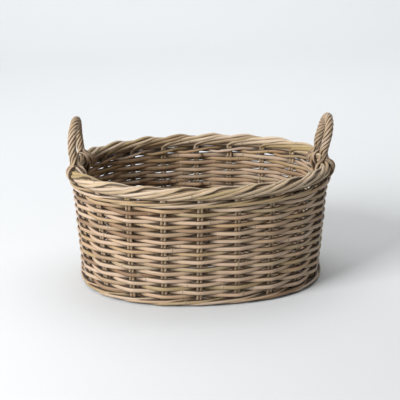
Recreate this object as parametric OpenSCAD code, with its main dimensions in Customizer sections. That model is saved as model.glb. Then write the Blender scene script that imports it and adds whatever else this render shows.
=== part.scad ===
// Oval log basket woven from thick rattan rods, with two upright bow handles.
// The origin is the middle of the footprint, on the floor. +X runs along the oval.

/* [Oval plan] */
// Half length of the ring of stakes, at floor level
base_half_length = 227; // [223:1:230]
// Half width of the ring of stakes, at floor level
base_half_width = 178; // [175:1:180]
// Half length of the ring of stakes, at the height of the border
rim_half_length = 246; // [240:1:250]
// Half width of the ring of stakes, at the height of the border
rim_half_width = 182; // [179:1:186]
// Fullness of the rim's oval: 2 is an ellipse, more is squarer
oval_power = 2.15; // [2.1:0.05:2.3]
// Fullness of the base's oval
base_power = 2.3; // [2.15:0.05:2.35]

/* [Siding] */
// Thickness of a weaving rod
rod_d = 7.2; // [6.8:0.1:7.2]
// Height from one row of weaving to the next
row_pitch = 7.7; // [7.6:0.1:7.8]
// Gap between the lowest rod of the siding and the floor
floor_gap = 0.5; // [0.3:0.1:1]
// Thickness of one upright stake
stake_d = 4.8; // [4.4:0.1:5.0]
// Distance between the middles of the two stakes of a pair
stake_spread = 6.2; // [6:0.1:6.6]
// Where the first pair stands, as a share of the spacing from the +X end
first_pair = 0.6; // [0.5:0.05:0.7]
// How far the pairs on the far side are moved along, as a share of the whole round
far_side_shift = 0.0075; // [0:0.0005:0.01]

/* [Border] */
// Thickness of each rolled strand of the border
strand_d = 7.8; // [7.2:0.1:7.8]
// Radius of the circle on which the strands lie round the border's core
strand_ring_r = 8.5; // [8.5:0.1:8.8]
// Thickness of the rod inside the border
core_d = 7.6; // [6:0.1:7.6]

/* [Handles] */
// Height of a handle's outer edge above the floor
handle_top = 319; // [314:1:326]
// Thickness of the cane bow inside a handle
bow_d = 8; // [7:0.1:8.2]
// Thickness of a handle over its wrapping
grip_d = 16.5; // [14:0.5:17]
// Oval angle of the left handle's far leg
left_far_leg = 157; // [155:1:159]
// Oval angle of the left handle's near leg
left_near_leg = 184; // [182:1:187]
// Oval angle of the right handle's far leg
right_far_leg = 8; // [6:1:11]
// Oval angle of the right handle's near leg
right_near_leg = -14; // [-17:1:-11]
// How far the left handle's top leans outward
left_lean = 2; // [0:1:8]
// How far the right handle's top leans outward
right_lean = 18; // [14:1:19]
// How far inside the border's middle line the left handle's legs stand
left_inset = 0; // [0:1:4]
// How far inside the border's middle line the right handle's legs stand
right_inset = 10; // [7:1:11]

/* [Base] */
// Thickness of the sticks that cross the base
cross_stick_d = 8; // [7:0.1:8]
// Thickness of the long sticks threaded through the cross sticks
long_stick_d = 5; // [4:0.1:5.4]
// Distance between neighbouring cross sticks
cross_stick_gap = 40; // [38:1:41]
// Height of the ring that the basket stands on
foot_h = 6; // [5:0.5:6]

/* [Hidden] */
pairs = 20;
rows = 23;
wale_float = 4;
stake_numbers = [1:pairs];
row_numbers = [1:rows];
function two_digits(k) = k < 10 ? str("0", k) : str(k);
function pair_name(k) = str("stake_pair_", two_digits(k));
function row_name(k) = str("weave_row_", two_digits(k));

// Heights, from the floor up
wale_pitch = rod_d + 0.2;
lower_wale_z = floor_gap + rod_d / 2;
upper_wale_z = lower_wale_z + wale_pitch;
first_row_z = upper_wale_z + wale_pitch;
top_wale_z = first_row_z + (rows - 1) * row_pitch + wale_pitch;
border_r = strand_ring_r + strand_d / 2;
border_z = top_wale_z + wale_pitch + rod_d / 2 + 0.3 + border_r;
stake_bottom_z = floor_gap + 0.5;
stake_top_z = border_z - border_r - 0.4;

// A weaving rod passes a stake pair with this gap between the two middles
clearance = 0.6;
bend = (stake_d + rod_d) / 2 + clearance;
// It runs straight for this far on each side of the pair's middle
flat_half = 9;
rod_sides = 5;

// ---- The oval -------------------------------------------------------------

function unit(v) = v / norm(v);
function signed_power(v, p) = sign(v) * pow(abs(v), p);
function oval(a, b, t, power = oval_power) = [
    a * signed_power(cos(t), 2 / power),
    b * signed_power(sin(t), 2 / power)
];

// Distance walked round the middle oval for each whole degree
mid_a = (base_half_length + rim_half_length) / 2;
mid_b = (base_half_width + rim_half_width) / 2;
function walked(t, s) = t > 360 ? [] : concat([[s, t]], walked(t + 1, s + step_length(t)));
function step_length(t) = norm(oval(mid_a, mid_b, t + 1) - oval(mid_a, mid_b, t));
walk = walked(0, 0);
full_round = walk[360][0];
function angle_at(share) = lookup((share - floor(share)) * full_round, walk);

// The wall leans straight from the base's oval out to the rim's
function wall_a(z) = base_half_length + (rim_half_length - base_half_length) * z / border_z;
function wall_xy(t, z) =
    let (share = z / border_z)
        (1 - share) * oval(base_half_length, base_half_width, t, base_power)
        + share * oval(rim_half_length, rim_half_width, t);
function along(t) = unit(oval(mid_a, mid_b, t + 2) - oval(mid_a, mid_b, t - 2));
function outward(t) = [along(t).y, -along(t).x];

// A point of the wall: moved along it, out from it, and at a height
function wall_point(t, z, side = 0, out = 0) =
    let (p = wall_xy(t, z) + side * along(t) + out * outward(t)) [p.x, p.y, z];

function pair_share(k) =
    let (even = (k + first_pair) / pairs) even + far_side_shift * (1 + sin(360 * even)) / 2;
function pair_angle(k) = angle_at(pair_share(k));

// ---- Swept rods -----------------------------------------------------------

function circle_points(p, u, v, r, sides) =
    [for (j = [0:sides - 1]) p + r * (cos(j * 360 / sides) * u + sin(j * 360 / sides) * v)];
function lift(v) = [v.x, v.y, 0];

// The faces between ring i and the next, counted round the tube
function band(i, next, sides) = [
    for (j = [0:sides - 1], half = [0, 1])
        let (j2 = (j + 1) % sides)
        half == 0
            ? [i * sides + j, i * sides + j2, next * sides + j2]
            : [i * sides + j, next * sides + j2, next * sides + j]
];

// A rod that closes on itself: centres, and the outward direction at each
module closed_rod(centres, outs, r, sides) {
    n = len(centres);
    points = [for (i = [0:n - 1]) each circle_points(centres[i], lift(outs[i]), [0, 0, 1], r, sides)];
    faces = [for (i = [0:n - 1]) each band(i, (i + 1) % n, sides)];
    polyhedron(points = points, faces = faces, convexity = 10);
}

function heading(path, i) =
    unit(path[min(i + 1, len(path) - 1)] - path[max(i - 1, 0)]);
function tube_points(path, across, r, sides) = [
    for (i = [0:len(path) - 1])
        let (h = heading(path, i), u = unit(across - (across * h) * h))
        each circle_points(path[i], u, cross(u, h), r, sides)
];

// A rod with two ends along a path
module open_rod(path, across, r, sides) {
    n = len(path);
    first_end = [for (j = [0:sides - 1]) sides - 1 - j];
    last_end = [for (j = [0:sides - 1]) (n - 1) * sides + j];
    faces = [for (i = [0:n - 2]) each band(i, i + 1, sides)];
    polyhedron(
        points = tube_points(path, across, r, sides),
        faces = concat(faces, [first_end, last_end]),
        convexity = 10
    );
}

// A hollow tube along a path, open at both ends
module open_sleeve(path, across, outer_r, inner_r, sides) {
    n = len(path);
    inner = n * sides;
    skin = [for (i = [0:n - 2]) each band(i, i + 1, sides)];
    bore = [for (f = skin) [f[2] + inner, f[1] + inner, f[0] + inner]];
    last = (n - 1) * sides;
    ends = [
        for (j = [0:sides - 1])
            let (j2 = (j + 1) % sides)
            each [
                [inner + j, inner + j2, j2],
                [inner + j, j2, j],
                [last + j, last + j2, inner + last + j2],
                [last + j, inner + last + j2, inner + last + j]
            ]
    ];
    polyhedron(
        points = concat(
            tube_points(path, across, outer_r, sides),
            tube_points(path, across, inner_r, sides)
        ),
        faces = concat(skin, bore, ends),
        convexity = 10
    );
}

// A straight round stick from one point to another
module stick(from, to, d) {
    way = to - from;
    translate(from)
        rotate([0, acos(way.z / norm(way)), atan2(way.y, way.x)])
            cylinder(h = norm(way), d = d, $fn = 24);
}

// ---- Siding ---------------------------------------------------------------

function shade(base, k) = base + [1, 0.95, 0.85] * 0.05 * sin(k * 137);

// Two upright stakes, side by side
module stake_pair(k) {
    t = pair_angle(k);
    color(shade([0.60, 0.50, 0.40], k))
        for (side = [-0.5, 0.5])
            stick(
                wall_point(t, stake_bottom_z, side * stake_spread),
                wall_point(t, stake_top_z, side * stake_spread),
                stake_d
            );
}

// A rod that goes once round, in front of a pair where passes(k) is 1, behind where -1
module woven_ring(z, passes) {
    closed_rod(
        [
            for (k = [0:pairs - 1], side = [-1, 1])
                wall_point(pair_angle(k), z, side * flat_half, passes[k] * bend)
        ],
        [for (k = [0:pairs - 1], side = [-1, 1]) outward(pair_angle(k))],
        rod_d / 2,
        rod_sides
    );
}

// One row of the siding: over one pair and under the next
module weave_row(row) {
    color(shade([0.68, 0.57, 0.45], row))
        woven_ring(
            first_row_z + (row - 1) * row_pitch,
            [for (k = [0:pairs - 1]) (k + row) % 2 == 0 ? 1 : -1]
        );
}

// One rod of waling: over three pairs and under the fourth
module wale_rod(z, start) {
    color(shade([0.70, 0.60, 0.47], start))
        woven_ring(z, [for (k = [0:pairs - 1]) (k + start) % wale_float == 0 ? -1 : 1]);
}

// The band of waling under the border: one rod on top of another
module top_wale() {
    wale_rod(top_wale_z, 2);
    wale_rod(top_wale_z + wale_pitch, 3);
}

// ---- Border ---------------------------------------------------------------

border_rings = 60;
border_strand_count = 6;
border_turns = 4;
function border_angle(i) = angle_at(i / border_rings);

// The rod that the border is rolled round
module border_core() {
    color([0.50, 0.41, 0.32])
        closed_rod(
            [for (i = [0:border_rings - 1]) wall_point(border_angle(i), border_z)],
            [for (i = [0:border_rings - 1]) outward(border_angle(i))],
            core_d / 2,
            rod_sides
        );
}

// Strands laid round the core like a rope with a long twist
module border_strands() {
    color([0.73, 0.64, 0.50])
        for (s = [0:border_strand_count - 1])
            closed_rod(
                [
                    for (i = [0:border_rings - 1])
                        let (
                            roll = 360 * (s / border_strand_count + border_turns * i / border_rings),
                            t = border_angle(i)
                        )
                        wall_point(
                            t,
                            border_z + strand_ring_r * sin(roll),
                            0,
                            strand_ring_r * cos(roll)
                                + wall_a(border_z) - wall_a(border_z + strand_ring_r * sin(roll))
                        )
                ],
                [for (i = [0:border_rings - 1]) outward(border_angle(i))],
                strand_d / 2,
                rod_sides
            );
}

// ---- Handles --------------------------------------------------------------

// The wrapping stops this far above the border, where its strands spread
wrapping_gap = 15;
grip_bottom_z = border_z + border_r + wrapping_gap;
bow_sides = 8;
arch_steps = 12;
// Each leg of the bow is tucked inside the siding, this far below the border
tuck_depth = 67;
tucked_out = -(border_r + bow_d / 2 + 0.6);
tail_z = border_z - tuck_depth;
// Its tip lies a little nearer to the siding than its shoulder does
tip_shift = 2;
tail_out = tucked_out + wall_a(tail_z) - wall_a(border_z) + tip_shift;
// Above the border it crosses over to the grip, which starts straight
shoulder_h = 5;
join_h = 4;
join_in = 2;
grip_foot_h = 8;

// Oval angles of the far and near legs, the inset and the lean make one bow
function leg_point(t, inset) = wall_point(t, border_z, 0, -inset);
function bow_across(far, near) =
    let (u = unit(leg_point(far, 0) - leg_point(near, 0)))
        sign(cos(far)) * [u.y, -u.x, 0];

// The arch from the far leg over to the near leg, leaning out as it rises
function arch(far, near, lean, inset) =
    let (
        span = leg_point(far, inset) - leg_point(near, inset),
        middle = (leg_point(far, inset) + leg_point(near, inset)) / 2,
        half = norm(span) / 2,
        crown = handle_top - grip_d / 2 - half,
        out = bow_across(far, near)
    )
    [
        for (i = [0:arch_steps])
            let (
                turn = 180 * i / arch_steps,
                z = crown + half * sin(turn),
                share = (z - grip_bottom_z) / (crown + half - grip_bottom_z)
            )
            [middle.x, middle.y, z] + cos(turn) * span / 2 + lean * share * out
    ];

// The stretch of a leg between the border and the arch
function grip_foot(t, inset) = [
    for (z = [grip_bottom_z, grip_bottom_z + grip_foot_h]) let (p = leg_point(t, inset)) [p.x, p.y, z]
];

// The tucked end of a leg, from its tip inside the siding up to the border
function tucked_leg(t, inset) =
    let (n = lift(outward(t)), p = wall_point(t, border_z))
    [
        [p.x, p.y, tail_z] + tail_out * n,
        [p.x, p.y, border_z - border_r] + tucked_out * n,
        [p.x, p.y, border_z + shoulder_h] + tucked_out * n,
        [p.x, p.y, grip_bottom_z - join_h] - (inset + join_in) * n
    ];

function reversed(list) = [for (i = [len(list) - 1:-1:0]) list[i]];
function grip_path(far, near, lean, inset) =
    concat(grip_foot(far, inset), arch(far, near, lean, inset), reversed(grip_foot(near, inset)));
function bow_path(far, near, lean, inset) =
    concat(tucked_leg(far, inset), grip_path(far, near, lean, inset), reversed(tucked_leg(near, inset)));

// The cane bow, both legs pushed down inside the border
module handle_bow(far, near, lean, inset) {
    color([0.55, 0.45, 0.34])
        open_rod(bow_path(far, near, lean, inset), bow_across(far, near), bow_d / 2, bow_sides);
}

// The wrapping of thin rods round the bow, over the grip
module handle_wrapping(far, near, lean, inset) {
    color([0.72, 0.60, 0.47])
        open_sleeve(
            grip_path(far, near, lean, inset),
            bow_across(far, near),
            grip_d / 2,
            bow_d / 2 + 0.4,
            bow_sides
        );
}

// Loops of thin rod that tie the legs down over the border
loop_d = 3.8;
loop_r = border_r + loop_d / 2 + 0.4;
loop_arc = 250;
module handle_lashings(far, near) {
    color([0.66, 0.56, 0.43])
        for (t = [far, near], side = [-1, 1])
            translate(wall_point(t, border_z, side * (bow_d / 2 + loop_d / 2 + 1)))
                rotate([0, 0, atan2(outward(t).y, outward(t).x)])
                    rotate([90, 0, 0])
                        rotate([0, 0, 90 - loop_arc / 2])
                            rotate_extrude(angle = loop_arc, $fn = 48)
                                translate([loop_r, 0])
                                    circle(d = loop_d, $fn = 24);
}

// ---- Base -----------------------------------------------------------------

// The foot ring's outer edge stands in from the ring of stakes, clear of the lowest rods
base_a = base_half_length - 14;
base_b = base_half_width - 13;
foot_width = 12;
foot_points = 72;
stick_z = foot_h + cross_stick_d / 2 + 0.3;
function foot_outline(inset) =
    [for (i = [0:foot_points - 1]) oval(base_a - inset, base_b - inset, i * 360 / foot_points)];

// The ring under the base that the basket stands on
module foot_ring() {
    color([0.48, 0.39, 0.30])
        linear_extrude(foot_h)
            difference() {
                polygon(foot_outline(0));
                polygon(foot_outline(foot_width));
            }
}

cross_each_side = 4;
long_stick_rows = [-30, 0, 30];
bore_play = 0.5;
end_gap = 4;
function cross_reach(x) = (base_b - end_gap) * sqrt(1 - pow(x / (base_a - end_gap / 2), 2));

// Sticks across the base, pierced for the long sticks
module base_cross_sticks() {
    color([0.62, 0.52, 0.40])
        difference() {
            for (i = [-cross_each_side:cross_each_side]) {
                x = i * cross_stick_gap;
                stick([x, -cross_reach(x), stick_z], [x, cross_reach(x), stick_z], cross_stick_d);
            }
            for (y = long_stick_rows)
                stick([-base_a, y, stick_z], [base_a, y, stick_z], long_stick_d + bore_play);
        }
}

// Long sticks threaded through the cross sticks
module base_long_sticks() {
    color([0.58, 0.48, 0.37])
        for (y = long_stick_rows)
            stick([6 - base_a, y, stick_z], [base_a - 6, y, stick_z], long_stick_d);
}

base_rod_d = 7;
base_rod_pitch = 10;
base_weave_z = stick_z + cross_stick_d / 2 + base_rod_d / 2 + 0.3;
base_straight = base_half_length - base_half_width;
base_outer_r = base_b - base_rod_d;

// An oval rod that lies flat: two straight stretches and two half rounds
module flat_oval_rod(r) {
    translate([0, 0, base_weave_z]) {
        for (side = [-1, 1])
            rotate([0, 90, 0])
                translate([0, side * r, -base_straight])
                    cylinder(h = 2 * base_straight, d = base_rod_d, $fn = 24);
        for (end = [0, 180])
            rotate([0, 0, end])
                translate([base_straight, 0, 0])
                    rotate([0, 0, -90])
                        rotate_extrude(angle = 180, $fn = 96)
                            translate([r, 0])
                                circle(d = base_rod_d, $fn = 24);
    }
}

// A band of oval rods of the base, the first one lying this many rods in
module base_weave(first, count) {
    color(shade([0.66, 0.55, 0.43], first))
        for (i = [first:first + count - 1])
            flat_oval_rod(base_outer_r - i * base_rod_pitch);
}

foot_ring();
base_cross_sticks();
base_long_sticks();
base_weave(0, 4);  // base_weave_outer
base_weave(4, 4);  // base_weave_middle
base_weave(8, 7);  // base_weave_inner
wale_rod(lower_wale_z, 0);  // bottom_wale_lower
wale_rod(upper_wale_z, 1);  // bottom_wale_upper
top_wale();
for (k = stake_numbers)
    stake_pair(k - 1);
for (k = row_numbers)
    weave_row(k);
border_core();
border_strands();
handle_bow(left_far_leg, left_near_leg, left_lean, left_inset);  // left_handle_bow
handle_wrapping(left_far_leg, left_near_leg, left_lean, left_inset);  // left_handle_wrapping
handle_lashings(left_far_leg, left_near_leg);  // left_handle_lashings
handle_bow(right_far_leg, right_near_leg, right_lean, right_inset);  // right_handle_bow
handle_wrapping(right_far_leg, right_near_leg, right_lean, right_inset);  // right_handle_wrapping
handle_lashings(right_far_leg, right_near_leg);  // right_handle_lashings
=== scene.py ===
import math
import random

import bpy
import numpy as np
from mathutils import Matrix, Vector


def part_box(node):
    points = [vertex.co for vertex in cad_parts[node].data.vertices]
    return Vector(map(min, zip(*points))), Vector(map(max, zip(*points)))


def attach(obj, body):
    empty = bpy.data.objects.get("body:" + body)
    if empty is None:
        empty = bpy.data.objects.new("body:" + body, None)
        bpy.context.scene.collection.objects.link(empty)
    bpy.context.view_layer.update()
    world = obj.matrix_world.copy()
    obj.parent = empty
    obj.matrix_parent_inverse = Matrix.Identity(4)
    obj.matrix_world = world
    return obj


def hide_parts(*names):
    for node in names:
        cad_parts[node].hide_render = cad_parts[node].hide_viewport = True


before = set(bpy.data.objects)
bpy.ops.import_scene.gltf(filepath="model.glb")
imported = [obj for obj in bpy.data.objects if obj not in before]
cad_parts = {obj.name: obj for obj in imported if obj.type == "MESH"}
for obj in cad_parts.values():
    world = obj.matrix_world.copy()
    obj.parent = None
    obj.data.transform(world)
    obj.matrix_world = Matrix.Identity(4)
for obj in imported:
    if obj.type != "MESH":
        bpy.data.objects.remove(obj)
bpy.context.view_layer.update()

# ---- Driving values, in metres unless a name says otherwise ----------------

PAIRS = 20
ROWS = 23
STAKE_R = 0.0028
STAKE_SPREAD = 0.0062
ROD_R = 0.0040
WALE_R = 0.0037
BORDER_STRAND_R = 0.0036
# Between two joints of the cane
NODE_GAP = 0.23
# Rough length of wall from one stake pair to the next
PAIR_SPAN = 0.068

# Radius of a handle's grip in the frame, and of the detailed wrapping
GRIP_R = 0.00825
WRAP_R = 0.0090
GRIP_STRAND_R = 0.0029
GRIP_STRANDS = 6
# Length in which a wrapping strand goes once round the grip
GRIP_LAY = 0.060
BOW_R = 0.0037
BOW_TAIL = 0.066
# How far a handle's crown leans out, its sides bulge out, and its legs stand inside the rim
LEAN = {"left": 0.003, "right": 0.018}
BULGE = {"left": 0.0035, "right": 0.001}
INSET = {"left": 0.0, "right": 0.010}

rim_low, rim_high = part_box("border_strands")
BORDER_Z = (rim_low.z + rim_high.z) / 2
BORDER_R = (rim_high.z - rim_low.z) / 2


def smooth(t):
    """Eases from 0 to 1 as t goes from 0 to 1."""
    t = np.clip(t, 0.0, 1.0)
    return t * t * (3 - 2 * t)


# ---- The wall, read from the stakes of the frame ----------------------------


class Wall:
    """The leaning oval on which the stake pairs stand. s counts pairs round it."""

    def __init__(self):
        lows, highs = [], []
        for k in range(PAIRS):
            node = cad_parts[f"stake_pair_{k + 1:02d}"]
            points = np.array([v.co for v in node.data.vertices])
            middle = (points[:, 2].min() + points[:, 2].max()) / 2
            lows.append(points[points[:, 2] < middle].mean(axis=0))
            highs.append(points[points[:, 2] > middle].mean(axis=0))
        self.lows = np.array(lows)
        self.highs = np.array(highs)

    def pillar(self, index, z):
        """Where the middle of a pair stands at each height z."""
        low, high = self.lows[index % PAIRS], self.highs[index % PAIRS]
        share = ((z - low[:, 2]) / (high[:, 2] - low[:, 2]))[:, None]
        return (low + (high - low) * share)[:, :2]

    def plan(self, s, z):
        """Points and directions of travel at the pair counts s and heights z."""
        s = np.asarray(s, float)
        z = np.asarray(z, float) + np.zeros_like(s)
        whole = np.floor(s).astype(int)
        t = (s - whole)[:, None]
        a, b, c, d = (self.pillar(whole + i, z) for i in (-1, 0, 1, 2))
        cubic = -a + 3 * b - 3 * c + d
        square = 2 * a - 5 * b + 4 * c - d
        line = c - a
        place = 0.5 * (cubic * t**3 + square * t**2 + line * t + 2 * b)
        way = 0.5 * (3 * cubic * t**2 + 2 * square * t + line)
        way /= np.linalg.norm(way, axis=1)[:, None]
        return place, way

    def points(self, s, z, out=0.0, side=0.0):
        """Points of the wall, moved out from it and along it."""
        place, way = self.plan(s, z)
        n = len(place)
        outward = np.stack([way[:, 1], -way[:, 0]], axis=1)
        out = np.asarray(out, float) + np.zeros(n)
        side = np.asarray(side, float) + np.zeros(n)
        z = np.asarray(z, float) + np.zeros(n)
        xy = place + outward * out[:, None] + way * side[:, None]
        return np.column_stack([xy, z])

    def outward(self, s, z):
        _, way = self.plan(s, z)
        return np.column_stack([way[:, 1], -way[:, 0], np.zeros(len(way))])


wall = Wall()
UP = np.array([0.0, 0.0, 1.0])


# ---- Rods as swept tubes ----------------------------------------------------


def wobble(u, rng, waves, size):
    """A gentle irregular curve along a rod: a few sines of random phase."""
    total = np.zeros_like(u)
    for wave in waves:
        pace = 2 * math.pi / wave
        total += np.sin(u * pace * rng.uniform(0.8, 1.2) + rng.uniform(0, 6.28))
    return total * size / len(waves)


def unit_rows(v):
    return v / np.maximum(np.linalg.norm(v, axis=1), 1e-12)[:, None]


# A joint of the cane swells by this share, over this length to each side
JOINT_SWELL = 0.07
JOINT_LENGTH = 0.003
# Each end of a rod is rounded over this share of its radius, down to this share of its size
END_ROUNDING = 0.12
END_SIZE = 0.82
# How much of the painted groove shade is left on the side where a rod has its twin
TWIN_GROOVE_SHADE = 0.80


class Rods:
    """Collects swept rods into one mesh, with what the rattan material reads."""

    def __init__(self, seed):
        self.rng = random.Random(seed)
        self.verts, self.faces = [], []
        self.grain, self.tone, self.cut, self.shade = [], [], [], []
        self.count = 0

    def add(self, path, up_r, side_r=None, ref=UP, sides=12, depth=None, shaded=0.0, twin=0):
        """Sweeps a rod along path. ref leans its cross-section's up axis.

        depth, from -1 to 1, says how far in or out of the wall each point lies; the faces that
        look into the weave from there get painted shade. shaded paints that shade over a whole rod.
        twin is the side, -1 or 1, on which an equal rod lies close; less groove shade is painted there.
        """
        rng = self.rng
        path = np.asarray(path, float)
        side_r = up_r if side_r is None else side_r
        heading = unit_rows(np.gradient(path, axis=0))
        ref = np.broadcast_to(np.asarray(ref, float), path.shape)
        up = unit_rows(ref - (ref * heading).sum(axis=1)[:, None] * heading)
        side = np.cross(heading, up)
        u = np.concatenate([[0.0], np.cumsum(np.linalg.norm(np.diff(path, axis=0), axis=1))])
        offset = rng.uniform(0, 40)
        tone = rng.random()
        swell = 1 + wobble(u, rng, (0.035, 0.08, 0.19), 0.05)
        joint = np.abs(((u + offset) / NODE_GAP + 0.5) % 1.0 - 0.5) * NODE_GAP
        swell += JOINT_SWELL * np.exp(-((joint / JOINT_LENGTH) ** 2))
        ups = up_r * swell
        sides_r = side_r * (1 + wobble(u, rng, (0.05, 0.11), 0.05)) * swell / swell.mean()
        depth = np.zeros(len(path)) if depth is None else depth

        # A slightly smaller ring at each end rounds off the cut
        cap = float(np.mean(up_r)) * END_ROUNDING
        centre = np.vstack([path[0] - heading[0] * cap, path, path[-1] + heading[-1] * cap])
        ends = np.r_[0, np.arange(len(path)), len(path) - 1]
        shrink = np.ones(len(ends))
        shrink[[0, -1]] = END_SIZE
        ru, rs = ups[ends] * shrink, sides_r[ends] * shrink
        a, b, along, depth = up[ends], side[ends], u[ends], depth[ends]
        n = len(ends)
        angle = np.arange(sides) * 2 * math.pi / sides
        cos, sin = np.cos(angle), np.sin(angle)
        ring = (
            centre[:, None, :]
            + a[:, None, :] * (ru[:, None] * cos[None, :])[:, :, None]
            + b[:, None, :] * (rs[:, None] * sin[None, :])[:, :, None]
        )
        base = self.count
        self.verts.append(ring.reshape(-1, 3))
        grain = np.empty((n, sides, 3))
        grain[:, :, 0] = (along + offset)[:, None]
        grain[:, :, 1] = cos[None, :]
        grain[:, :, 2] = (sin * np.where(sin * twin > 0, TWIN_GROOVE_SHADE, 1.0))[None, :]
        self.grain.append(grain.reshape(-1, 3))
        self.tone.append(np.full(n * sides, tone))
        # Painted shade: faces that look into the weave, and whole shaded rods, are darkened by the
        # material
        self.shade.append(np.maximum(-depth[:, None] * sin[None, :], shaded).reshape(-1))
        cut = np.zeros((n, sides))
        cut[[0, -1], :] = 1
        self.cut.append(cut.reshape(-1))
        i = np.arange(n - 1)[:, None] * sides
        j = np.arange(sides)[None, :]
        k = (j + 1) % sides
        quads = np.stack([i + j, i + sides + j, i + sides + k, i + k], axis=-1).reshape(-1, 4)
        self.faces.extend((quads + base).tolist())
        self.faces.append([base + m for m in range(sides)])
        self.faces.append([base + (n - 1) * sides + m for m in reversed(range(sides))])
        self.count += n * sides

    def piece(self, name, material, slot, replaces):
        """Makes the mesh, which rides on the basket and replaces the named nodes."""
        mesh = bpy.data.meshes.new(name)
        mesh.from_pydata(np.concatenate(self.verts).tolist(), [], self.faces)
        mesh.polygons.foreach_set("use_smooth", [True] * len(mesh.polygons))
        grain = mesh.attributes.new("grain", "FLOAT_VECTOR", "POINT")
        grain.data.foreach_set("vector", np.concatenate(self.grain).astype(np.float32).ravel())
        for key, values in (("tone", self.tone), ("cut", self.cut), ("shade", self.shade)):
            layer = mesh.attributes.new(key, "FLOAT", "POINT")
            layer.data.foreach_set("value", np.concatenate(values).astype(np.float32))
        mesh.materials.append(material)
        mesh.update()
        obj = bpy.data.objects.new(name, mesh)
        bpy.context.scene.collection.objects.link(obj)
        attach(obj, "root")
        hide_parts(*replaces)


# ---- Rattan -------------------------------------------------------------------


# Colour of the painted shade in the grooves where rods touch and on faces recessed into the weave
PAINTED_SHADE = (0.034, 0.019, 0.010)
# For each axis: where the painted shade in the groove starts, where it is darkest, and how dark it gets
GROOVE_SHADE = {"Y": (0.58, 0.98, 0.95), "Z": (0.70, 1.02, 0.84)}


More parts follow.
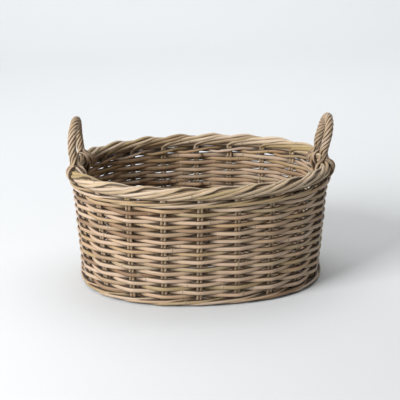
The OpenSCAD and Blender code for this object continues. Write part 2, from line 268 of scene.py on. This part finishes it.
def rattan(name, palette, dark=0.0, gloss=0.5, grooves=None):
    """Peeled grey rattan: one colour per rod from the palette, fibre streaks, stains, joints, and
    painted shade in grooves and recesses.

    grooves names the axis of a rod's cross-section along which its neighbours touch it; shade
    is painted there.
    """
    material = bpy.data.materials.new(name)
    material.use_nodes = True
    tree = material.node_tree
    nodes, links = tree.nodes, tree.links
    shader = nodes["Principled BSDF"]
    shader.inputs["Specular IOR Level"].default_value = 0.45
    shader.inputs["Sheen Weight"].default_value = 0.06
    shader.inputs["Sheen Roughness"].default_value = 0.5

    def attribute(which, output):
        node = nodes.new("ShaderNodeAttribute")
        node.attribute_name = which
        return node.outputs[output]

    def stretched(along, around, shift=0.0):
        node = nodes.new("ShaderNodeMapping")
        node.inputs["Scale"].default_value = (along, around, around)
        node.inputs["Location"].default_value = (shift, shift * 0.37, shift * 0.71)
        links.new(grain, node.inputs["Vector"])
        return node.outputs["Vector"]

    def noise(vector, detail=2.0, rough=0.5):
        node = nodes.new("ShaderNodeTexNoise")
        node.inputs["Scale"].default_value = 1.0
        node.inputs["Detail"].default_value = detail
        node.inputs["Roughness"].default_value = rough
        links.new(vector, node.inputs["Vector"])
        return node.outputs["Fac"]

    def ramp(source, stops):
        node = nodes.new("ShaderNodeValToRGB")
        elements = node.color_ramp.elements
        elements[0].position, elements[0].color = stops[0][0], (*stops[0][1], 1)
        elements[1].position, elements[1].color = stops[-1][0], (*stops[-1][1], 1)
        for place, colour in stops[1:-1]:
            elements.new(place).color = (*colour, 1)
        links.new(source, node.inputs["Fac"])
        return node.outputs["Color"]

    def level(source, low, high, out_low=0.0, out_high=1.0):
        node = nodes.new("ShaderNodeMapRange")
        node.interpolation_type = "SMOOTHSTEP"
        node.inputs["From Min"].default_value = low
        node.inputs["From Max"].default_value = high
        node.inputs["To Min"].default_value = out_low
        node.inputs["To Max"].default_value = out_high
        links.new(source, node.inputs["Value"])
        return node.outputs["Result"]

    def mix(fac, a, b):
        node = nodes.new("ShaderNodeMix")
        node.data_type = "RGBA"
        for socket, value in (("Factor", fac), ("A", a), ("B", b)):
            target = next(i for i in node.inputs if i.name == socket and i.enabled)
            if hasattr(value, "node"):
                links.new(value, target)
            elif socket == "Factor":
                target.default_value = value
            else:
                target.default_value = (*value, 1)
        return next(o for o in node.outputs if o.enabled)

    def maths(operation, a, b=0.0, c=0.0):
        node = nodes.new("ShaderNodeMath")
        node.operation = operation
        for i, value in enumerate((a, b, c)):
            if hasattr(value, "node"):
                links.new(value, node.inputs[i])
            else:
                node.inputs[i].default_value = value
        return node.outputs[0]

    grain = attribute("grain", "Vector")
    tone = attribute("tone", "Fac")
    cut = attribute("cut", "Fac")
    shade = attribute("shade", "Fac")

    # Tone drifts along a rod, as the cane's skin does
    drift = noise(stretched(5.0, 0.5), detail=1.0)
    shifted = maths("MULTIPLY_ADD", drift, 0.24, maths("ADD", tone, -0.12))
    stops = [(i / (len(palette) - 1), colour) for i, colour in enumerate(palette)]
    colour = ramp(shifted, stops)

    # Fibres that run along the rod
    fibre = noise(stretched(22.0, 5.5, 3.0), detail=4.0, rough=0.62)
    fine = noise(stretched(70.0, 16.0, 11.0), detail=2.0)
    streak = level(fibre, 0.30, 0.72)
    colour = mix(level(fibre, 0.56, 0.76, 0.0, 0.55), colour, (0.62, 0.55, 0.46))
    colour = mix(level(fibre, 0.24, 0.46, 0.60, 0.0), colour, (0.14, 0.085, 0.045))

    # Old stains and weathered grey patches
    blotch = noise(stretched(16.0, 1.1, 23.0), detail=3.0, rough=0.6)
    colour = mix(level(blotch, 0.57, 0.78, 0.0, 0.55), colour, (0.15, 0.09, 0.045))
    pale = noise(stretched(12.0, 1.3, 31.0), detail=3.0)
    colour = mix(level(pale, 0.56, 0.80, 0.0, 0.50), colour, (0.62, 0.565, 0.49))

    split = nodes.new("ShaderNodeSeparateXYZ")
    links.new(grain, split.inputs[0])
    # Painted shade: darker where neighbouring rods touch, and on faces recessed into the weave
    if grooves:
        near = maths("MULTIPLY_ADD", fine, 0.16, maths("ABSOLUTE", split.outputs[grooves]))
        start, full, most = GROOVE_SHADE[grooves]
        colour = mix(level(near, start, full, 0.0, most), colour, PAINTED_SHADE)
    colour = mix(level(shade, 0.35, 0.95, 0.0, 0.84), colour, PAINTED_SHADE)

    # Joints: a thin dark ring with a pale edge at each node of the cane
    turn = maths("FRACT", maths("ADD", maths("DIVIDE", split.outputs["X"], NODE_GAP), 0.5))
    distance = maths("MULTIPLY", maths("ABSOLUTE", maths("SUBTRACT", turn, 0.5)), NODE_GAP)
    uneven = maths("MULTIPLY_ADD", fine, 0.0016, distance)
    colour = mix(level(uneven, 0.0010, 0.0022, 0.75, 0.0), colour, (0.10, 0.055, 0.028))
    colour = mix(level(distance, 0.0025, 0.0050, 0.30, 0.0), colour, (0.42, 0.33, 0.22))

    # Cut ends show paler, open-pored wood
    colour = mix(maths("MULTIPLY", cut, 0.7), colour, (0.40, 0.31, 0.20))
    if dark:
        colour = mix(dark, colour, (0.08, 0.05, 0.03))
    links.new(colour, shader.inputs["Base Color"])

    links.new(level(fibre, 0.25, 0.75, gloss + 0.14, gloss - 0.06), shader.inputs["Roughness"])

    height = maths("MULTIPLY_ADD", streak, 0.6, maths("MULTIPLY", fine, 0.4))
    height = maths("ADD", height, level(distance, 0.0, 0.0018, -1.2, 0.0))
    bump = nodes.new("ShaderNodeBump")
    bump.inputs["Strength"].default_value = 0.55
    bump.inputs["Distance"].default_value = 0.0006
    links.new(height, bump.inputs["Height"])
    links.new(bump.outputs["Normal"], shader.inputs["Normal"])
    return material


# From driftwood grey through pinkish tan to honey and olive brown
SIDING = [
    (0.23, 0.128, 0.062),
    (0.39, 0.268, 0.158),
    (0.55, 0.410, 0.288),
    (0.46, 0.305, 0.180),
    (0.58, 0.440, 0.338),
    (0.35, 0.258, 0.128),
    (0.45, 0.290, 0.155),
]
STAKES = [
    (0.34, 0.228, 0.128),
    (0.47, 0.345, 0.225),
    (0.39, 0.270, 0.155),
    (0.50, 0.365, 0.250),
]
BORDER = [
    (0.26, 0.168, 0.084),
    (0.48, 0.358, 0.220),
    (0.60, 0.478, 0.345),
    (0.38, 0.280, 0.118),
    (0.56, 0.438, 0.325),
    (0.31, 0.225, 0.095),
]
HANDLE = [
    (0.36, 0.255, 0.145),
    (0.47, 0.350, 0.240),
    (0.40, 0.288, 0.172),
    (0.49, 0.372, 0.270),
]
siding_rattan = rattan("siding_rattan", SIDING, grooves="Y")
stake_rattan = rattan("stake_rattan", STAKES)
border_rattan = rattan("border_rattan", BORDER, gloss=0.46, grooves="Z")
handle_rattan = rattan("handle_rattan", HANDLE, gloss=0.48, grooves="Z")
base_rattan = rattan("base_rattan", SIDING, dark=0.25, gloss=0.6)


# ---- Stakes ---------------------------------------------------------------------


# A stake turns in under the base with this radius and lies along it for this length
FOOT_TURN_R = 0.010
FOOT_RUN = 0.034


def stake_pair(number):
    """Two upright stakes whose lower ends turn in under the base."""
    rods = Rods(100 + number)
    low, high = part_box(f"stake_pair_{number:02d}")
    k = number - 1
    top = high.z + 0.004
    under_z = low.z + 0.0045
    for side in (-0.5, 0.5):
        z = np.linspace(under_z + FOOT_TURN_R, top, 40)
        shift = side * STAKE_SPREAD + wobble(z, rods.rng, (0.08, 0.15), 0.0004)
        upright = wall.points(np.full(len(z), float(k)), z, 0.0, shift)
        bend = np.linspace(0, math.pi / 2, 7)[:-1]
        foot = wall.points(
            np.full(len(bend), float(k)),
            under_z + FOOT_TURN_R * (1 - np.sin(bend)),
            -FOOT_TURN_R * (1 - np.cos(bend)),
            shift[0],
        )[::-1]
        run = np.linspace(FOOT_RUN, 0.0, 6)[:-1]
        tail = wall.points(np.full(len(run), float(k)), under_z, -FOOT_TURN_R - run, shift[0])
        lean = wall.outward([k], 0.1)[0] + UP * 0.9
        rods.add(np.vstack([tail, foot, upright]), STAKE_R, ref=lean, sides=10)
    name = f"stake_pair_{number:02d}"
    rods.piece(f"{name}_rods", stake_rattan, "stake_rattan", [name])


# ---- Rows of the siding ------------------------------------------------------------

# Points of a rod from one pair to the next
STEPS = 14
# A weaving rod's half depth and half height, as shares of its radius
ROD_DEPTH = 0.86
ROD_HEIGHT = 1.17
BEND = STAKE_R + ROD_R * ROD_DEPTH + 0.0001
# How sharply the rods turn at the stakes, from 0 for a smooth wave to 1 for a zigzag
CREASE = 0.985
# The pair count at which the wall is packed most tightly, and what changes there
SNUGGEST = 3.5
SNUG_HEIGHT = 0.14
SNUG_BEND = 0.15


def snug(s):
    """How tightly the wall is packed, 0 to 1: most on the far right, least on the near left."""
    return 0.5 + 0.5 * np.cos((s - SNUGGEST) * 2 * math.pi / PAIRS)


def row_wave(s, row):
    """How far out a weaving rod lies: in front of one pair, behind the next."""
    zigzag = np.arcsin(CREASE * np.cos(np.pi * (s + row))) / math.asin(CREASE)
    return BEND * (1 - SNUG_BEND * snug(s)) * zigzag


def weave_row(row):
    """A row of randing, made of several rods that end inside the wall."""
    name = f"weave_row_{row:02d}"
    low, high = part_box(name)
    z0 = (low.z + high.z) / 2
    rods = Rods(300 + row)
    rng = rods.rng
    # Splices fall on pairs that the row passes behind
    start = rng.randrange(PAIRS)
    if (start + row) % 2 == 0:
        start += 1
    place, end = start, start + PAIRS
    while place < end:
        length = 2 * rng.randint(2, 5)
        stop = min(place + length, end)
        if end - stop < 4:
            stop = end
        s = np.linspace(place - 0.13, stop + 0.20, int((stop - place + 0.33) * STEPS))
        thick = ROD_R * rng.uniform(0.90, 1.10)
        z = z0 + wobble(s * PAIR_SPAN, rng, (0.10, 0.27), 0.0007)
        out = row_wave(s, row)
        # Where two rods meet, the new one starts inside the old one's tail
        fresh = np.clip((place + 0.55 - s) / 0.68, 0, 1)
        out = out - 0.0052 * smooth(fresh)
        z = z + 0.0012 * fresh
        height = thick * (ROD_HEIGHT + SNUG_HEIGHT * snug(s))
        rods.add(wall.points(s, z, out), height, thick * ROD_DEPTH, depth=out / BEND)
        place = stop
    rods.piece(f"{name}_rods", siding_rattan, "siding_rattan", [name])


# ---- Waling ---------------------------------------------------------------------------


def wale(name, nodes, seed, low_z, high_z, radius):
    """Three rods laid in turn: over two pairs, behind the third, each climbing over the last."""
    rods = Rods(seed)
    rng = rods.rng
    reach = (high_z - low_z) / 2 - radius
    middle = (high_z + low_z) / 2
    for first in range(3):
        place = first
        while place < first + PAIRS:
            stop = min(place + 3 * rng.randint(2, 3), first + PAIRS + 1)
            s = np.linspace(place - 0.25, stop + 0.25, int((stop - place + 0.5) * STEPS))
            phase = (s - first) % 3.0
            out = np.where(phase < 1.5, phase, 3.0 - phase)
            out = np.clip((out - 0.5) / 0.5, -1, 1)
            out = (STAKE_R + radius + 0.0004) * np.sin(out * math.pi / 2)
            climb = np.where(phase < 0.35, (phase + 2.65) / 2.3, (phase - 0.35) / 2.3)
            fall = np.where(phase > 2.65, 1 - (phase - 2.65) / 0.7, 0)
            fall = np.where(phase < 0.35, 0.5 - phase / 0.7, fall)
            rise = np.where((phase >= 0.35) & (phase <= 2.65), (phase - 0.35) / 2.3, fall)
            z = middle + reach * (2 * rise - 1) + wobble(s * PAIR_SPAN, rng, (0.11, 0.3), 0.0004)
            out = out + 0.0011 * np.sin(np.pi * np.clip(climb, 0, 1)) * (phase > 0.35)
            rods.add(wall.points(s, z, out), radius * rng.uniform(0.94, 1.06), depth=out / BEND)
            place = stop
    rods.piece(name, siding_rattan, "siding_rattan", nodes)


# ---- Border -----------------------------------------------------------------------------

# Half the distance between the middles of two strands laid side by side
DOUBLET_HALF = 0.0034
# How high the strands arch over the rim
HUMP = 0.0027
# Length of the rim from one pair to the next
PAIR_GAP = 0.0665
STEM_POINTS = 8
CORE_RODS = 4
CORE_RING = 0.0050
CORE_ROD_R = 0.0038
# Two rods that run under the rim, at these angles round its middle line
FILLER_ANGLES = (-1.75, -1.25)
FILLER_RING = 0.0088
FILLER_ROD_R = 0.0034


def border_places(s, angle, radius):
    """Points on a ring round the border's middle line, and the directions away from it."""
    places = wall.points(s, np.full(len(s), BORDER_Z), radius * np.cos(angle))
    places[:, 2] = BORDER_Z + radius * np.sin(angle)
    outward = wall.outward(s, BORDER_Z)
    return places, outward * np.cos(angle)[:, None] + UP * np.sin(angle)[:, None]


def doublet_way(back, ring):
    """Angle round the middle line, and distance from it, of two strands laid side by side.

    back counts pairs from the stakes that they come from. They rise slantwise inside the rim,
    lie on its top as a hump, cross over where the second pair comes up, and sink outside.
    """
    rise = 41 * np.exp(-back / 0.12)
    cross = 9 * (1 + np.tanh((back - 2.0) / 0.08))
    fall = 27 * np.logaddexp(0, (back - 2.0) / 0.10) * 0.10
    shoulder = 11 * np.tanh((back - 1.62) / 0.12)
    angle = np.radians(204 + rise - 69 * back - shoulder - cross - fall)
    hump = HUMP * np.sin(np.pi * np.clip((back - 0.80) / 0.97, 0, 1) ** 1.8) ** 0.9
    press = 0.0020 * np.exp(-(((back - 2.04) / 0.14) ** 2))
    press += 0.0012 * np.exp(-((back - 1.0) / 0.15) ** 2)
    tuck = 0.0036 * np.clip((back - 2.9) / 0.45, 0, 1) ** 1.5
    return angle, ring + hump - press - tuck


def border():
    """Two strands from each pair of stakes, rolled over the rim side by side, and their core."""
    rods = Rods(500)
    rng = rods.rng
    ring = BORDER_R - BORDER_STRAND_R - 0.0008
    for k in range(PAIRS):
        length = rng.uniform(3.30, 3.52)
        back = np.linspace(0, length, 92)
        angle, radius = doublet_way(back, ring)
        along, round_ = -back * PAIR_GAP, angle * ring
        turn_x, turn_y = np.gradient(along), np.gradient(round_)
        size = np.hypot(turn_x, turn_y)
        strands = []
        for half in (-1, 1):
            shift = half * DOUBLET_HALF * rng.uniform(0.92, 1.08)
            s = k + (along - shift * turn_y / size) / PAIR_GAP
            turned = (round_ + shift * turn_x / size) / ring
            lift = wobble(back * PAIR_GAP, rng, (0.07, 0.16), 0.0005) + 0.0003 * half
            body, faces_out = border_places(s, turned, radius + lift)
            t = np.linspace(0, 1, STEM_POINTS, endpoint=False)
            stem_s = np.full(STEM_POINTS, s[0])
            stem_z = (BORDER_Z - BORDER_R - 0.006) * (1 - t) + body[0, 2] * t
            stem_out = radius[0] * math.cos(turned[0]) * t**1.5
            stem = wall.points(stem_s, stem_z, stem_out)
            path = soften(np.vstack([stem, body]), 3)
            strands.append((path, np.vstack([-wall.outward(stem_s, BORDER_Z), faces_out])))
        for (path, ref), (other, _) in (strands, strands[::-1]):
            side = np.cross(np.gradient(path, axis=0), ref)
            twin = int(np.sign((side * (other - path)).sum()))
            rods.add(path, BORDER_STRAND_R * rng.uniform(0.95, 1.09), ref=ref, twin=twin)
    rods.piece("border_strands_rods", border_rattan, "border_rattan", ["border_strands"])

    core = Rods(540)
    s = np.linspace(0, PAIRS + 0.3, 320)
    # The core and filler rods carry painted shade all over, where they show in the gaps of the border
    for i in range(CORE_RODS):
        twist = s * 0.5 + i * 2 * math.pi / CORE_RODS
        path, faces_out = border_places(s, twist, np.full(len(s), CORE_RING))
        core.add(path, CORE_ROD_R, ref=faces_out, sides=8, shaded=0.45)
    for low_angle in FILLER_ANGLES:
        angle = np.full(len(s), low_angle)
        path, faces_out = border_places(s, angle, np.full(len(s), FILLER_RING))
        core.add(path, FILLER_ROD_R, ref=faces_out, sides=8, shaded=0.6)
    core.piece("border_core_rods", stake_rattan, "border_rattan", ["border_core"])


def soften(path, times):
    """Rounds the corners of a path, keeping its ends."""
    path = path.copy()
    for _ in range(times):
        path[1:-1] = (path[:-2] + 2 * path[1:-1] + path[2:]) / 4
    return path


# ---- Handles --------------------------------------------------------------------------------


def rim_place(x_sign, y):
    """The pair count at which the rim, on one end of the oval, has this y."""
    s = np.linspace(0, PAIRS, 2001)
    place, _ = wall.plan(s, np.full(len(s), BORDER_Z))
    wrong_end = np.sign(place[:, 0]) != x_sign
    return float(s[np.argmin(np.abs(place[:, 1] - y) + wrong_end)])


def handle_line(side):
    """The middle line of a handle, from its far foot to its near foot, and its outward direction."""
    low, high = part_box(f"{side}_handle_wrapping")
    x_sign = -1 if side == "left" else 1
    far_s = rim_place(x_sign, high.y - GRIP_R)
    near_s = rim_place(x_sign, low.y + GRIP_R)
    far = wall.points([far_s], BORDER_Z, -INSET[side])[0]
    near = wall.points([near_s], BORDER_Z, -INSET[side])[0]
    half = np.linalg.norm(far - near) / 2
    along = (far - near) / (2 * half)
    outward = np.array([along[1], -along[0], 0.0])
    outward *= x_sign * np.sign(outward[0])
    middle = (far + near) / 2
    crown = high.z - WRAP_R - half
    foot_z = BORDER_Z + BORDER_R + 0.004
    leg = np.linspace(foot_z, crown, 14, endpoint=False)
    turn = np.linspace(0, math.pi, 60)
    lines = [far + UP * (z - BORDER_Z) for z in leg]
    for a in turn:
        rise = crown - BORDER_Z + half * math.sin(a)
        lines.append(middle + UP * rise + along * half * math.cos(a))
    lines += [near + UP * (z - BORDER_Z) for z in leg[::-1]]
    line = np.array(lines)
    share = (line[:, 2] - foot_z) / (crown + half - foot_z)
    line += outward * (LEAN[side] * share + BULGE[side] * np.sin(np.pi * np.clip(share, 0, 1)))[:, None]
    return soften(line, 2), outward, far_s, near_s


def resampled(path, step):
    """The same path with its points an even step apart, and the length walked at each."""
    lengths = np.concatenate([[0.0], np.cumsum(np.linalg.norm(np.diff(path, axis=0), axis=1))])
    at = np.linspace(0, lengths[-1], int(lengths[-1] / step))
    return np.column_stack([np.interp(at, lengths, path[:, i]) for i in range(3)]), at


def handle(side):
    """A wrapped bow on one end of the basket, and the loops that tie its legs to the border."""
    line, outward, far_s, near_s = handle_line(side)
    line, at = resampled(line, 0.0022)
    heading = unit_rows(np.gradient(line, axis=0))
    across = unit_rows(outward - (heading @ outward)[:, None] * heading)
    other = np.cross(heading, across)
    ring = WRAP_R - GRIP_STRAND_R
    seed = 600 if side == "left" else 640
    away = np.sign(far_s - near_s)

    wrapping = Rods(seed)
    rng = wrapping.rng
    for i in range(GRIP_STRANDS):
        roll = 2 * math.pi * (i / GRIP_STRANDS + at / GRIP_LAY)
        push = ring + wobble(at, rng, (0.03, 0.07), 0.0004)
        body = line + across * (push * np.cos(roll))[:, None] + other * (push * np.sin(roll))[:, None]
        start = strand_tail(far_s, math.cos(roll[0]), math.sin(roll[0]), away, rng)
        finish = strand_tail(near_s, math.cos(roll[-1]), -math.sin(roll[-1]), -away, rng)
        path = np.vstack([start[::-1], body[5:-5], finish])
        path, _ = resampled(soften(path, 6), 0.0024)
        middle = np.array([line[np.argmin(((line - q) ** 2).sum(axis=1))] for q in path])
        wrapping.add(path, GRIP_STRAND_R * rng.uniform(0.94, 1.06), ref=path - middle, sides=10)
    handle_piece(wrapping, f"{side}_handle_wrapping")

    bow = Rods(seed + 1)
    tails = []
    for s in (far_s, near_s):
        z = np.linspace(BORDER_Z - BOW_TAIL, BORDER_Z + BORDER_R * 0.4, 14)
        # Below the border the tail slips from the inside face into the wall
        hidden = smooth((BORDER_Z - BORDER_R - z) / 0.022)
        lean_in = -(BORDER_R + 0.0050) * (1 - hidden) - 0.0030 * hidden
        tails.append(wall.points(np.full(len(z), s), z, lean_in))
    path = np.vstack([tails[0], line[4:-4], tails[1][::-1]])
    path, _ = resampled(soften(path, 6), 0.004)
    bow.add(path, BOW_R, ref=outward * 0.9 + np.array([0.1, 0.2, 0.1]))
    handle_piece(bow, f"{side}_handle_bow")

    lashings = Rods(seed + 2)
    for s, way in ((far_s, away), (near_s, -away)):
        for j in (-1, 1):
            angle = np.linspace(math.radians(-75), math.radians(255), 60)
            slant = j * 0.075 + way * 0.10 * np.cos(angle) + 0.04 * j * np.cos(angle)
            reach = BORDER_R + GRIP_STRAND_R * (1.1 + 0.25 * np.sin(3 * angle))
            path, faces_out = border_places(s + slant, angle, reach)
            lashings.add(path, GRIP_STRAND_R * 0.85, ref=faces_out, sides=8)
    handle_piece(lashings, f"{side}_handle_lashings")


def handle_piece(rods, node):
    rods.piece(f"{node}_rods", handle_rattan, "handle_rattan", [node])


def strand_tail(s, outer, spread, away, rng):
    """A strand that leaves the grip and goes over the border, outside or inside, and under it."""
    outside = outer > 0
    t = np.linspace(0, 1, 24)
    angle = np.radians(74 + t * -150) if outside else np.radians(106 + t * 128)
    drift = away * (0.26 * t**2 if outside else 0.40 * t**1.2)
    slip = 0.085 * spread + drift + rng.uniform(-0.01, 0.01)
    reach = BORDER_R + GRIP_STRAND_R * 0.6 + 0.0006 * np.sin(3 * t)
    if not outside:
        reach = reach + HUMP
    path, _ = border_places(s + slip, angle, reach)
    return path


# ---- Base -------------------------------------------------------------------------------------

CROSS_STICKS = 9
LONG_STICK_Y = (-0.030, 0.0, 0.030)
LONG_STICK_R = 0.0025
BASE_ROD_R = 0.0030
BASE_ROD_PITCH = 0.0066
# The numbers of the rings at which the middle and the inner band start
MIDDLE_RING = 7
INNER_RING = 13


def base_piece(rods, node):
    rods.piece(f"{node}_rods", base_rattan, "base_rattan", [node])


def base_sticks():
    """The sticks that cross the base and the long ones threaded through them."""
    low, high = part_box("base_cross_sticks")
    z = (low.z + high.z) / 2
    stick_r = (high.z - low.z) / 2 - 0.0006
    half_x = high.x - (high.z - low.z) / 2
    weave_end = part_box("base_weave_outer")[1].x
    cross = Rods(700)
    xs = np.linspace(-half_x, half_x, CROSS_STICKS)
    reaches = []
    for x in xs:
        reach = high.y * math.sqrt(1 - (x / (weave_end + 0.002)) ** 2)
        reaches.append(reach)
        y = np.linspace(-reach, reach, 40)
        sway = wobble(y, cross.rng, (0.12, 0.3), 0.0006)
        cross.add(np.column_stack([x + sway, y, np.full(40, z)]), stick_r, ref=UP)
    base_piece(cross, "base_cross_sticks")
    long_low, long_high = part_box("base_long_sticks")
    sticks = Rods(720)
    for y0 in LONG_STICK_Y:
        x = np.linspace(long_low.x, long_high.x, 60)
        y = y0 + wobble(x, sticks.rng, (0.15, 0.4), 0.0003)
        sticks.add(np.column_stack([x, y, np.full(60, z)]), LONG_STICK_R, ref=UP)
    base_piece(sticks, "base_long_sticks")
    return xs, reaches, z, stick_r


def oval_lap(radius, straight, n):
    """Points at even steps round an oval of two half rounds and two straights."""
    arc, flat = math.pi * radius, 2 * straight
    total = 2 * (arc + flat)
    places = []
    for u in np.arange(n) / n * total:
        u = (u + arc / 2) % total
        if u < arc:
            a = -math.pi / 2 + u / radius
            places.append((straight + radius * math.cos(a), radius * math.sin(a)))
        elif u < arc + flat:
            places.append((straight - (u - arc), radius))
        elif u < 2 * arc + flat:
            a = math.pi / 2 + (u - arc - flat) / radius
            places.append((-straight + radius * math.cos(a), radius * math.sin(a)))
        else:
            places.append((-straight + (u - 2 * arc - flat), -radius))
    return np.array(places)


def crossings_of(plan, straight, xs, reaches, long_reach):
    """The points of a ring after which it crosses a stick."""
    following = np.roll(plan, -1, axis=0)
    found = set()
    for i, (a, b) in enumerate(zip(plan, following)):
        for x, reach in zip(xs, reaches):
            if (a[0] - x) * (b[0] - x) < 0 and abs(a[1]) < reach:
                found.add(i)
        for y in LONG_STICK_Y:
            if (a[1] - y) * (b[1] - y) < 0 and straight < abs(a[0]) < long_reach:
                found.add(i)
    return sorted(found)


def base_weave(xs, reaches, stick_z, stick_r):
    """Oval rings that pass over one stick and under the next."""
    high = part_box("base_weave_outer")[1]
    straight = high.x - high.y
    outer_r = high.y - 0.0125
    rings = int((outer_r - 0.012) / BASE_ROD_PITCH)
    bands = [
        ("base_weave_outer", 0, MIDDLE_RING),
        ("base_weave_middle", MIDDLE_RING, INNER_RING),
        ("base_weave_inner", INNER_RING, rings),
    ]
    long_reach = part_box("base_long_sticks")[1].x
    for name, first, last in bands:
        rods = Rods(760 + first)
        for ring in range(first, last):
            radius = outer_r - ring * BASE_ROD_PITCH
            n = max(96, int(2 * (math.pi * radius + 2 * straight) / 0.0045))
            plan = oval_lap(radius, straight, n)
            crossings = crossings_of(plan, straight, xs, reaches, long_reach)
            count = len(crossings)
            if count < 2:
                continue
            marks = np.array(crossings + [crossings[0] + n], float)
            at = np.arange(n) + 0.0
            at = np.where(at < marks[0], at + n, at)
            lap = np.interp(at, marks, np.arange(count + 1))
            z = stick_z + (stick_r + BASE_ROD_R * 0.75) * np.cos(np.pi * (lap + ring))
            z = np.maximum(z, BASE_ROD_R + 0.0012)
            path = np.column_stack([plan, z])
            path = np.roll(path, -rods.rng.randrange(n), axis=0)
            path = np.vstack([path, path[:2] + np.array([0, 0, 0.0006])])
            rods.add(path, BASE_ROD_R * rods.rng.uniform(0.92, 1.06), ref=UP, sides=8)
        base_piece(rods, name)


# Pairs in which a strand of the foot ring goes once round the others
FOOT_LAY = 1.25
FOOT_STRANDS = 3


def foot_ring():
    """Three strands twisted into the ring that the basket stands on."""
    low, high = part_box("foot_ring")
    rods = Rods(900)
    height = high.z - low.z
    stake_line = wall.points(np.linspace(0, PAIRS, 400), 0.01)
    inset = stake_line[:, 1].max() - high.y + 0.006
    radius = height * 0.40
    for strand in range(FOOT_STRANDS):
        start = strand * 6.6
        s = np.linspace(start, start + PAIRS + 0.2, 420)
        roll = 2 * math.pi * (strand / FOOT_STRANDS + s / FOOT_LAY)
        out = -inset + 0.0036 * np.cos(roll)
        z = radius + 0.0002 + (height - 2 * radius) * (0.5 + 0.5 * np.sin(roll))
        rods.add(wall.points(s, z, out), radius, ref=UP, sides=8)
    base_piece(rods, "foot_ring")


# ---- Build ----------------------------------------------------------------------------------------

for number in range(1, PAIRS + 1):
    stake_pair(number)
for row in range(1, ROWS + 1):
    weave_row(row)
lower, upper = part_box("bottom_wale_lower"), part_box("bottom_wale_upper")
wale(
    "bottom_wale_rods",
    ["bottom_wale_lower", "bottom_wale_upper"],
    460,
    lower[0].z,
    upper[1].z + 0.0004,
    WALE_R,
)
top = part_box("top_wale")
wale("top_wale_rods", ["top_wale"], 480, top[0].z - 0.0004, top[1].z + 0.0010, WALE_R)
border()
handle("left")
handle("right")
base_weave(*base_sticks())
foot_ring()


# ---- Studio -----------------------------------------------------------------------------------------


def plain_material(name, colour, roughness):
    material = bpy.data.materials.new(name)
    material.use_nodes = True
    shader = material.node_tree.nodes["Principled BSDF"]
    shader.inputs["Base Color"].default_value = (*colour, 1)
    shader.inputs["Roughness"].default_value = roughness
    shader.inputs["Specular IOR Level"].default_value = 0.2
    return material


def studio_sweep():
    """A pale floor that curves up into a backdrop."""
    near, far, bend_r, top, half_width = -4.0, 2.0, 1.2, 5.0, 7.0
    profile = [(near, 0.0), (far, 0.0)]
    for a in np.linspace(0.1, math.pi / 2, 14):
        profile.append((far + bend_r * math.sin(a), bend_r - bend_r * math.cos(a)))
    profile.append((far + bend_r, top))
    verts = [(x, y, z) for y, z in profile for x in (-half_width, half_width)]
    faces = [(2 * i, 2 * i + 1, 2 * i + 3, 2 * i + 2) for i in range(len(profile) - 1)]
    mesh = bpy.data.meshes.new("studio_sweep")
    mesh.from_pydata(verts, [], faces)
    mesh.polygons.foreach_set("use_smooth", [True] * len(mesh.polygons))
    mesh.materials.append(plain_material("studio_paper", (0.660, 0.684, 0.704), 0.75))
    obj = bpy.data.objects.new("studio_sweep", mesh)
    bpy.context.scene.collection.objects.link(obj)


def area_light(name, place, target, size, power, colour):
    data = bpy.data.lights.new(name, "AREA")
    data.shape = "RECTANGLE"
    data.size, data.size_y = size
    data.energy = power
    data.color = colour
    obj = bpy.data.objects.new(name, data)
    obj.location = place
    obj.rotation_euler = (Vector(target) - Vector(place)).to_track_quat("-Z", "Y").to_euler()
    bpy.context.scene.collection.objects.link(obj)


studio_sweep()
area_light("window", (-2.5, -1.6, 1.8), (0, 0, 0.15), (1.6, 1.8), 152, (1.0, 0.985, 0.98))
area_light("overhead", (0.3, 1.4, 3.2), (0.3, 1.4, 0.0), (4.2, 4.0), 67, (1.0, 0.975, 0.945))
area_light("backdrop", (1.0, 0.7, 2.4), (1.2, 3.2, 0.7), (3.4, 0.8), 32, (0.97, 0.99, 1.0))

world = bpy.data.worlds.new("studio_air")
world.use_nodes = True
air = world.node_tree.nodes["Background"]
air.inputs["Color"].default_value = (1.0, 0.98, 0.95, 1)
air.inputs["Strength"].default_value = 0.18
bpy.context.scene.world = world
bpy.context.scene.view_settings.view_transform = "Standard"

# ---- Camera -------------------------------------------------------------------------------------------

CAMERA_DISTANCE = 2.60
CAMERA_TURN = math.radians(8.5)
CAMERA_RISE = math.radians(18.3)
AIM = Vector((-0.0016, 0, 0.1482))
LENS_MM = 118.7
SENSOR_MM = 36

camera_data = bpy.data.cameras.new("photo_camera")
camera_data.sensor_width = SENSOR_MM
camera_data.lens = LENS_MM
camera = bpy.data.objects.new("photo_camera", camera_data)
offset = Vector(
    (
        -math.sin(CAMERA_TURN) * math.cos(CAMERA_RISE),
        -math.cos(CAMERA_TURN) * math.cos(CAMERA_RISE),
        math.sin(CAMERA_RISE),
    )
)
camera.location = AIM + offset * CAMERA_DISTANCE
camera.rotation_euler = (-offset).to_track_quat("-Z", "Y").to_euler()
bpy.context.scene.collection.objects.link(camera)
bpy.context.scene.camera = camera
